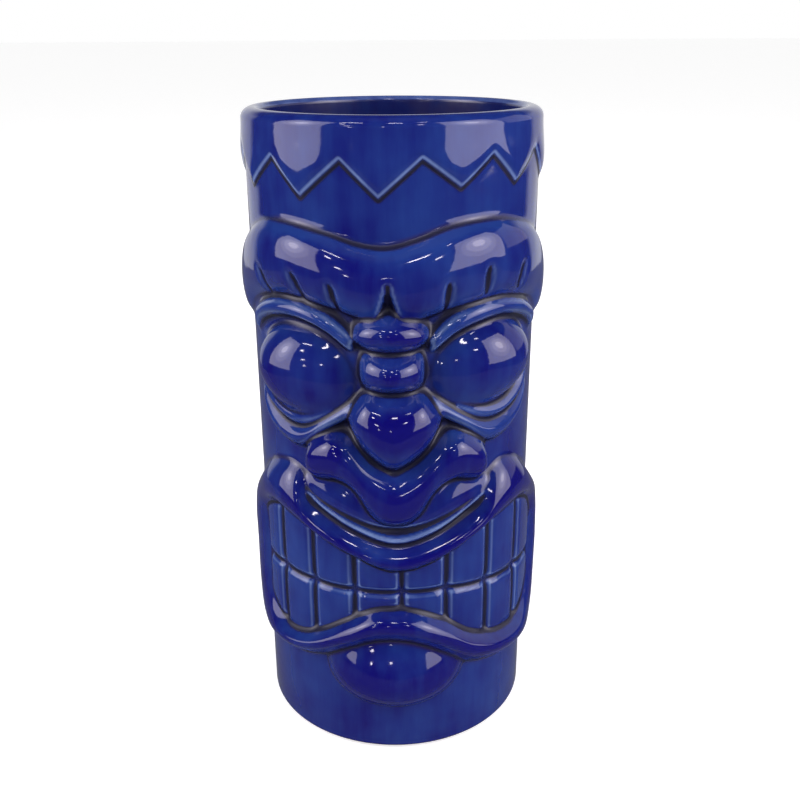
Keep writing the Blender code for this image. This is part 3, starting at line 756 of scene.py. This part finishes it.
def surface_normals(points):
    """Unit normals of a grid of points that closes on itself from side to side."""
    round_it = np.roll(points, -1, axis=1) - np.roll(points, 1, axis=1)
    along = np.gradient(points, axis=0)
    normals = np.cross(round_it, along)
    return normals / np.linalg.norm(normals, axis=2, keepdims=True)


def cell_corners(cells, columns):
    """The four grid corners of each (row, column) cell, facing out."""
    row, column = cells
    beside = (column + 1) % columns
    corners = [row * columns + column, row * columns + beside]
    corners += [(row + 1) * columns + beside, (row + 1) * columns + column]
    return np.stack(corners, axis=1)


def halves(corners, height):
    """Each cell as two triangles, split along whichever diagonal is the more level."""
    first, second, third, fourth = corners.T
    level = np.abs(height[first] - height[third]) <= np.abs(height[second] - height[fourth])
    one = np.where(level[:, None], corners[:, (0, 1, 2)], corners[:, (0, 1, 3)])
    other = np.where(level[:, None], corners[:, (0, 2, 3)], corners[:, (1, 2, 3)])
    return np.vstack([one, other])


def level_cells(fields):
    """The cells over which none of the fields changes."""
    level = True
    for field in fields:
        beside = np.roll(field, -1, axis=1)
        corners = [field[:-1], field[1:], beside[:-1], beside[1:]]
        level = level & (np.ptp(corners, axis=0) < LEVEL_WITHIN)
    return level


def strips(mask, columns):
    """The masked cells as upright strips of triangles, facing out, that leave out every
    grid corner with masked cells all round it."""
    padded = np.pad(mask, ((1, 1), (0, 0)))
    before = np.roll(padded, 1, axis=1)
    needed = ~(padded[:-1] & padded[1:] & before[:-1] & before[1:])
    starts = mask & ~padded[:-2]
    stops = mask & ~padded[2:]
    triangles = []
    for column in range(columns):
        beside = (column + 1) % columns
        for start, stop in zip(np.nonzero(starts[:, column])[0], np.nonzero(stops[:, column])[0]):
            reach = slice(start, stop + 2)
            left = (np.nonzero(needed[reach, column])[0] + start) * columns + column
            right = (np.nonzero(needed[reach, beside])[0] + start) * columns + beside
            here, there = 0, 0
            while here + 1 < len(left) or there + 1 < len(right):
                below = there + 1 < len(right)
                if below and here + 1 < len(left):
                    below = right[there + 1] - beside <= left[here + 1] - column
                if below:
                    triangles.append((left[here], right[there], right[there + 1]))
                    there += 1
                else:
                    triangles.append((left[here], right[there], left[here + 1]))
                    here += 1
    return np.array(triangles)


def edges_of(mask, columns):
    """Corner pairs of every side of a masked cell whose neighbour isn't masked, in the
    order that the cell's own face has them."""
    grid = np.arange((len(mask) + 1) * columns).reshape(-1, columns)
    beside = np.roll(grid, -1, axis=1)
    padded = np.pad(mask, ((1, 1), (0, 0)))
    pairs = []
    for neighbour, start, stop in (
        (padded[:-2], grid[:-1], beside[:-1]),
        (np.roll(mask, -1, axis=1), beside[:-1], beside[1:]),
        (padded[2:], beside[1:], grid[1:]),
        (np.roll(mask, 1, axis=1), grid[1:], grid[:-1]),
    ):
        side = mask & ~neighbour
        pairs.append(np.stack([start[side], stop[side]], axis=1))
    return np.vstack(pairs)


def band_to(rims, shift):
    """A four-sided face from each pair of corners to the pair that is shift further on."""
    start, stop = rims.T
    return np.stack([stop, start, start + shift, stop + shift], axis=1)


def end_fans(columns, last, middle):
    """Two fans that close a turned surface: its first row round the corner middle, and the
    row that begins at last round the corner after it."""
    start = np.arange(columns)
    after = (start + 1) % columns
    return [
        np.stack([np.full(columns, middle), after, start], axis=1),
        np.stack([np.full(columns, middle + 1), last + start, last + after], axis=1),
    ]


def read_all(items, field, width, kind):
    """One field of every item, as rows width long."""
    values = np.zeros(len(items) * width, kind)
    items.foreach_get(field, values)
    return values.reshape(-1, width)


def make_mesh(name, points, faces, normals, soft, layers):
    """A mesh whose first soft faces take the given normals at their corners."""
    used, index = np.unique(np.concatenate([face.ravel() for face in faces]), return_inverse=True)
    mesh = bpy.data.meshes.new(name)
    lists = []
    start = 0
    for face in faces:
        lists += index[start:start + face.size].reshape(face.shape).tolist()
        start += face.size
    mesh.from_pydata(points[used].tolist(), [], lists)
    for layer, values in layers.items():
        attribute = mesh.attributes.new(layer, "FLOAT", "POINT")
        attribute.data.foreach_set("value", values[used].astype(np.float32))
    mesh.shade_smooth()
    totals = read_all(mesh.polygons, "loop_total", 1, np.int32)[:, 0]
    corner_normals = np.repeat(read_all(mesh.polygons, "normal", 3, np.float32), totals, axis=0)
    corners = read_all(mesh.loops, "vertex_index", 1, np.int32)[:, 0]
    soft_loops = int(totals[:soft].sum())
    corner_normals[:soft_loops] = normals[used][corners[:soft_loops]]
    mesh.normals_split_custom_set(corner_normals.tolist())
    return mesh


def add_object(name, data):
    item = bpy.data.objects.new(name, data)
    bpy.context.scene.collection.objects.link(item)
    return item


def add_piece(name, mesh, material):
    """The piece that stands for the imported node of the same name."""
    piece = add_object(name, mesh)
    mesh.materials.append(material)
    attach(piece, "root")
    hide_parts(name)


def whole_layers(wall_layers, shape, wall, lip):
    """The wall's glaze layers, carried on over the rim and down the inside."""
    layers = {}
    for name, values in wall_layers.items():
        layers[name] = np.zeros(shape)
        layers[name][wall] = values
    # The rim's pale line, partly a painted highlight.
    layers["edge"][lip] = RIM_PALE_AND_HIGHLIGHT
    layers["thin"][wall.stop:] = RIM_THIN
    layers["hem"][wall.stop:] = 2.0 * HEM_REACH
    # Painted shade over the whole inside.
    layers["pool_and_shade"][lip.stop:] = INSIDE_PAINTED_SHADE
    return layers


class Skin:
    """The cup's whole outline turned round, with its wall pushed out by the sculpted height:
    a grid with a row for each point of the outline and a column for each u."""

    def __init__(self):
        self.us, zs, height, wall_layers, owners, self.names = sculpt()
        self.profile, first, lip = cup_profile(zs)
        self.wall = slice(first, first + len(zs))
        self.rows, self.columns = len(self.profile), len(self.us)
        self.size = self.rows * self.columns
        self.lift = np.zeros((self.rows, self.columns))
        self.lift[self.wall] = height
        points = place_points(self.profile, self.us, self.lift)
        self.points = points.reshape(-1, 3)
        self.normals = surface_normals(points).reshape(-1, 3)
        self.layers = whole_layers(wall_layers, self.lift.shape, self.wall, lip)
        self.owned = np.full((self.rows - 1, self.columns), -1)
        self.owned[first:first + len(zs) - 1] = owners

    def sunk(self, depth):
        """The same corners on the plain cup, depth under its outside."""
        level = np.full(self.lift.shape, -depth)
        return place_points(self.profile, self.us, level).reshape(-1, 3)

    def both_layers(self, ends=0):
        """The glaze layers for the shown corners, for the hidden ones and for the ends."""
        both = {}
        for name, values in self.layers.items():
            both[name] = np.append(np.tile(values.ravel(), 2), np.zeros(ends))
        return both

    def shown(self, mask):
        """The masked cells as triangles of the visible surface."""
        cells = cell_corners(np.nonzero(mask), self.columns)
        return halves(cells, self.lift.ravel())


def build_cup(skin, glaze):
    """The cup: its own surface where no form lies on it, and a pocket under every form."""
    ends = np.array([[0.0, 0.0, BASE * MM], [0.0, 0.0, FLOOR_TOP * MM]])
    points = np.vstack([skin.points, skin.sunk(POCKET), ends])
    upright = np.array([[0.0, 0.0, -1.0], [0.0, 0.0, 1.0]])
    normals = np.vstack([skin.normals, skin.normals, upright])
    columns = skin.columns
    last = (skin.rows - 1) * columns
    bare = skin.owned < 0
    plain = bare & level_cells([skin.lift, *skin.layers.values()])
    plain[:skin.wall.start] = False
    plain[skin.wall.stop - 1:] = False
    shown = skin.shown(bare & ~plain)
    strip = strips(plain, columns)
    fans = end_fans(columns, last, 2 * skin.size)
    pockets = strips(~bare, columns) + skin.size
    rims = edges_of(bare, columns)
    rims = rims[(rims[:, 0] >= columns) | (rims[:, 1] >= columns)]
    rims = rims[(rims[:, 0] < last) | (rims[:, 1] < last)]
    faces = [shown, strip, *fans, pockets, band_to(rims, skin.size)]
    soft = len(shown) + len(strip) + 2 * columns
    layers = skin.both_layers(len(ends))
    mesh = make_mesh("cup_body", points, faces, normals, soft, layers)
    add_piece("cup_body", mesh, glaze)


def build_forms(skin, glaze):
    """Every carved form as its own closed solid, with its back just clear of its pocket."""
    points = np.vstack([skin.points, skin.sunk(POCKET - SKIN_GAP)])
    normals = np.vstack([skin.normals, skin.normals])
    layers = skin.both_layers()
    for number, name in enumerate(skin.names):
        mask = skin.owned == number
        shown = skin.shown(mask)
        hidden = cell_corners(np.nonzero(mask), skin.columns)[:, ::-1] + skin.size
        sides = band_to(edges_of(mask, skin.columns), skin.size)
        mesh = make_mesh(name, points, [shown, hidden, sides], normals, len(shown), layers)
        add_piece(name, mesh, glaze)


def build_foot(clay):
    """The unglazed disc that the mug stands on."""
    top = BASE - SKIN_GAP
    profile = [(r, 0.0) for r in BASE_RINGS]
    edge = (FOOT_RADIUS - FOOT_CHAMFER, FOOT_CHAMFER)
    profile += arc(edge, FOOT_CHAMFER, -90.0, 0.0, 4)
    profile += [(FOOT_RADIUS, top)]
    profile += [(r, top) for r in FOOT_TOP_RINGS]
    profile = np.array(profile)
    us = np.linspace(0.0, TURN, FOOT_POINTS, endpoint=False)
    rows, columns = len(profile), len(us)
    points = place_points(profile, us, np.zeros((rows, columns))).reshape(-1, 3)
    ends = np.array([[0.0, 0.0, 0.0], [0.0, 0.0, top * MM]])
    cells = np.nonzero(np.ones((rows - 1, columns), bool))
    size = rows * columns
    faces = [cell_corners(cells, columns), *end_fans(columns, size - columns, size)]
    mesh = make_mesh("foot", np.vstack([points, ends]), faces, np.zeros((size + 2, 3)), 0, {})
    mesh.set_sharp_from_angle(angle=radians(FOOT_CREASE))
    add_piece("foot", mesh, clay)


# ---------------- materials

class Nodes:
    """A short way to add nodes to a tree and join them up."""

    def __init__(self, tree):
        self.tree = tree
        self.tree.nodes.clear()

    def add(self, kind, output=0, settings=None, **inputs):
        """A new node's output. Inputs go by their names, or by _ and their numbers."""
        node = self.tree.nodes.new(kind)
        for name, value in (settings or {}).items():
            setattr(node, name, value)
        for name, value in inputs.items():
            key = int(name[1:]) if name[1:].isdigit() else name.replace("_", " ")
            self.join(value, node.inputs[key])
        return node.outputs[output]

    def join(self, value, socket):
        if isinstance(value, bpy.types.NodeSocket):
            self.tree.links.new(value, socket)
        elif isinstance(value, tuple) and socket.type == "RGBA" and len(value) == 3:
            socket.default_value = (*value, 1.0)
        else:
            socket.default_value = value

    def maths(self, operation, first, second=0.0, clamp=False):
        settings = {"operation": operation, "use_clamp": clamp}
        return self.add("ShaderNodeMath", 0, settings, _0=first, _1=second)

    def span(self, value, low, high, start=0.0, stop=1.0):
        inputs = {"From_Min": low, "From_Max": high, "To_Min": start, "To_Max": stop}
        return self.add("ShaderNodeMapRange", Value=value, **inputs)

    def line(self, distance, place, reach, amount):
        """amount where distance is place, falling to nothing reach away on either side."""
        gap = self.maths("ABSOLUTE", self.maths("SUBTRACT", distance, place))
        return self.span(gap, 0.0, reach, amount, 0.0)

    def place(self):
        """Each point's own place, in metres."""
        return self.add("ShaderNodeTexCoord", "Object")

    def layer(self, name):
        return self.add("ShaderNodeAttribute", "Fac", {"attribute_name": name})

    def noise(self, at, scale, detail, roughness):
        inputs = {"Scale": scale, "Detail": detail, "Roughness": roughness}
        return self.add("ShaderNodeTexNoise", Vector=at, **inputs)

    def mix(self, share, first, second):
        settings = {"data_type": "RGBA"}
        return self.add("ShaderNodeMix", 2, settings, _0=share, _6=first, _7=second)

    def choose(self, share, first, second):
        settings = {"data_type": "FLOAT"}
        return self.add("ShaderNodeMix", 0, settings, _0=share, _2=first, _3=second)

    def close(self, shader, kind="ShaderNodeOutputMaterial"):
        """Joins the finished shader to the tree's output."""
        output = self.tree.nodes.new(kind)
        self.tree.links.new(shader, output.inputs["Surface"])


def new_material(name):
    material = bpy.data.materials.new(name)
    material.use_nodes = True
    return material, Nodes(material.node_tree)


def glaze_material():
    """Glossy cobalt glaze: it pools dark in grooves, darkened further as painted shade, thins in
    streaks down the wall and breaks pale over sharp edges, paled further as a painted highlight."""
    material, nodes = new_material("cobalt_glaze")
    at = nodes.place()
    # Along the hem: a dark line under the band's edge, partly pooled glaze and partly a painted
    # shadow, and a pale line on the edge, partly broken glaze and partly a painted highlight.
    hem = nodes.maths("SUBTRACT", nodes.layer("hem"), HEM_REACH)
    pool_and_shade = nodes.maths("MAXIMUM", nodes.layer("pool_and_shade"), nodes.line(hem, *HEM_POOL_AND_SHADOW))
    edge = nodes.maths("MAXIMUM", nodes.layer("edge"), nodes.line(hem, *HEM_PALE_AND_HIGHLIGHT))
    stretched = nodes.add("ShaderNodeMapping", Vector=at, Scale=STREAK_STRETCH)
    streaks = nodes.noise(stretched, *STREAK_NOISE)
    clouds = nodes.noise(at, *CLOUD_NOISE)
    specks = nodes.noise(at, *SPECK_NOISE)
    waves = nodes.noise(at, *WAVE_NOISE)
    thin = nodes.maths("ADD", nodes.layer("thin"), nodes.span(clouds, *CLOUD_THIN))
    thin = nodes.maths("ADD", thin, nodes.span(streaks, *STREAK_THIN), clamp=True)
    colour = nodes.mix(thin, THICK_GLAZE, THIN_GLAZE)
    # Edges go pale: partly broken glaze, partly a painted highlight.
    broken_and_highlit = nodes.maths("MULTIPLY", edge, nodes.span(streaks, *STREAK_BREAK))
    colour = nodes.mix(broken_and_highlit, colour, BROKEN_GLAZE_AND_HIGHLIGHT)
    warm = nodes.maths("MULTIPLY", nodes.span(pool_and_shade, *POOL_WARM), nodes.span(clouds, *CLOUD_WARM))
    colour = nodes.mix(nodes.maths("MULTIPLY", warm, WARM_SHARE), colour, WARM_GLAZE)
    # Grooves, the hem's underside and the inside go near black: partly pooled glaze, partly
    # painted shade.
    colour = nodes.mix(nodes.span(pool_and_shade, *POOL_AND_SHADE_DARK), colour, POOLED_GLAZE_AND_SHADE)
    swell = nodes.maths("ADD", waves, nodes.maths("MULTIPLY", specks, SPECK_BUMP))
    rough = nodes.span(specks, *SPECK_ROUGH)
    rough = nodes.maths("ADD", rough, nodes.span(pool_and_shade, *POOL_ROUGH))
    shader = nodes.add(
        "ShaderNodeBsdfPrincipled",
        Base_Color=colour,
        Roughness=rough,
        IOR=GLAZE_IOR,
        Normal=nodes.add("ShaderNodeBump", Height=swell, **GLAZE_BUMP),
    )
    nodes.close(shader)
    return material


def clay_material():
    """Bare fired clay: chalky, speckled and a little stained."""
    material, nodes = new_material("bare_clay")
    at = nodes.place()
    specks = nodes.noise(at, *CLAY_SPECKS)
    stains = nodes.noise(at, *CLAY_STAINS)
    colour = nodes.mix(nodes.span(specks, *SPECKS_SHOW), CLAY, CLAY_SPECKLE)
    colour = nodes.mix(nodes.span(stains, *STAINS_SHOW), colour, CLAY_SPECKLE)
    shader = nodes.add(
        "ShaderNodeBsdfPrincipled",
        Base_Color=colour,
        Roughness=nodes.span(stains, *STAINS_ROUGH),
        Normal=nodes.add("ShaderNodeBump", Height=specks, **CLAY_BUMP),
    )
    nodes.close(shader)
    return material


# ---------------- the studio

def plane(name, width, depth, material):
    """A level sheet on the table's height that isn't part of the mug."""
    x, y = width / 2.0, depth / 2.0
    mesh = bpy.data.meshes.new(name)
    corners = [(-x, -y, 0.0), (x, -y, 0.0), (x, y, 0.0), (-x, y, 0.0)]
    mesh.from_pydata(corners, [], [(0, 1, 2, 3)])
    mesh.materials.append(material)
    item = add_object(name, mesh)
    return item


def pale_floor():
    """The white table, lit a little more for the camera, and not mirrored by the glaze."""
    material, nodes = new_material("pale_floor")
    grain = nodes.span(nodes.noise(nodes.place(), *FLOOR_GRAIN), *FLOOR_TONES)
    shader = nodes.add(
        "ShaderNodeBsdfPrincipled",
        Base_Color=nodes.add("ShaderNodeCombineColor", Red=grain, Green=grain, Blue=grain),
        Roughness=FLOOR_ROUGHNESS,
        Emission_Color=(1.0, 1.0, 1.0),
        Emission_Strength=nodes.maths(
            "MULTIPLY", nodes.add("ShaderNodeLightPath", "Is Camera Ray"), FLOOR_LIFT
        ),
    )
    nodes.close(shader)
    table = plane("floor", FLOOR_SIDE, FLOOR_SIDE, material)
    table.visible_glossy = False


def mirrored_floor():
    """A dimmer stretch of the table in its place, for the glaze alone to mirror."""
    material, nodes = new_material("mirrored_floor")
    nodes.close(nodes.add("ShaderNodeBsdfDiffuse", Color=(TABLE_TONE, TABLE_TONE, TABLE_TONE)))
    card = plane("mirrored_floor", 2.0 * TABLE_SIDE, TABLE_FRONT + TABLE_REAR, material)
    card.location = (0.0, (TABLE_REAR - TABLE_FRONT) / 2.0, 0.0)
    for view in ("camera", "diffuse", "shadow", "transmission"):
        setattr(card, "visible_" + view, False)


def lamp(name, azimuth, elevation, distance, size, radiance, shape="RECTANGLE"):
    """An area light facing the middle of the mug from azimuth and elevation in degrees."""
    light = bpy.data.lights.new(name, "AREA")
    light.shape = shape
    light.size, light.size_y = size
    light.energy = radiance * WATTS * size[0] * size[1]
    light.color = SOFTBOX_TINT
    item = add_object(name, light)
    turn, tilt = radians(azimuth), radians(elevation)
    level = distance * cos(tilt)
    item.location = (level * sin(turn), -level * cos(turn), AIM_HEIGHT + distance * sin(tilt))
    item.rotation_euler = (pi / 2.0 - tilt, 0.0, turn)
    return item


def softbox(name, azimuth, width):
    """An upright rectangular light, brighter in its middle, facing the mug."""
    panels = [(1.0, SOFTBOX_RADIANCE, "RECTANGLE")]
    panels += [(share, extra, "ELLIPSE") for share, extra in SOFTBOX_CORES]
    for number, (share, strength, shape) in enumerate(panels):
        size = (width * share, (SOFTBOX_TOP - SOFTBOX_BOTTOM) * share)
        item = lamp(f"{name}_{number}", azimuth, 0.0, SOFTBOX_DISTANCE, size, strength, shape)
        item.location *= 1.0 - SOFTBOX_LAYER * number
        item.location.z = (SOFTBOX_BOTTOM + SOFTBOX_TOP) / 2.0


def studio_world():
    """White behind and right above the mug, dark in front of it, plain white to the camera."""
    world = bpy.data.worlds.new("studio")
    bpy.context.scene.world = world
    world.use_nodes = True
    nodes = Nodes(world.node_tree)
    direction = nodes.add("ShaderNodeTexCoord", "Generated")
    behind = nodes.add("ShaderNodeSeparateXYZ", "Y", Vector=direction)
    level = nodes.add("ShaderNodeSeparateXYZ", "Z", Vector=direction)
    wall = nodes.span(behind, *BEHIND_MIRRORED)
    wall = nodes.maths("MULTIPLY", wall, nodes.span(level, *BEHIND_ENDS))
    mirrored = nodes.maths("ADD", wall, nodes.span(level, *ABOVE_MIRRORED))
    glossy = nodes.add("ShaderNodeLightPath", "Is Glossy Ray")
    seen = nodes.add("ShaderNodeLightPath", "Is Camera Ray")
    strength = nodes.choose(seen, nodes.choose(glossy, STUDIO_FILL, mirrored), 1.0)
    shader = nodes.add("ShaderNodeBackground", Color=(1.0, 1.0, 1.0), Strength=strength)
    nodes.close(shader, "ShaderNodeOutputWorld")


def camera():
    """The camera, at the place and angle that the mug is seen from."""
    data = bpy.data.cameras.new("camera")
    data.lens = CAMERA_LENS
    data.clip_start = 0.01
    item = add_object("camera", data)
    turn = Matrix.Rotation(radians(-CAMERA_TURN), 4, "Z")
    tilt = Matrix.Rotation(radians(90.0 - CAMERA_TILT), 4, "X")
    roll = Matrix.Rotation(radians(CAMERA_ROLL), 4, "Z")
    item.matrix_world = Matrix.Translation(CAMERA_AT) @ turn @ tilt @ roll
    bpy.context.scene.camera = item


def studio():
    """Floor, surroundings, lights and camera."""
    pale_floor()
    mirrored_floor()
    studio_world()
    for name, (azimuth, width) in SOFTBOXES.items():
        softbox(name, azimuth, width)
    lamp("panel_right", *PANEL_RIGHT)
    for number, (azimuth, elevation, size, radiance) in enumerate(SMALL_LAMPS):
        lamp(f"lamp_{number}", azimuth, elevation, SMALL_LAMP_DISTANCE, size, radiance)
    camera()
    bpy.context.scene.view_settings.view_transform = "Standard"


skin = Skin()
glaze = glaze_material()
build_cup(skin, glaze)
build_forms(skin, glaze)
build_foot(clay_material())
studio()
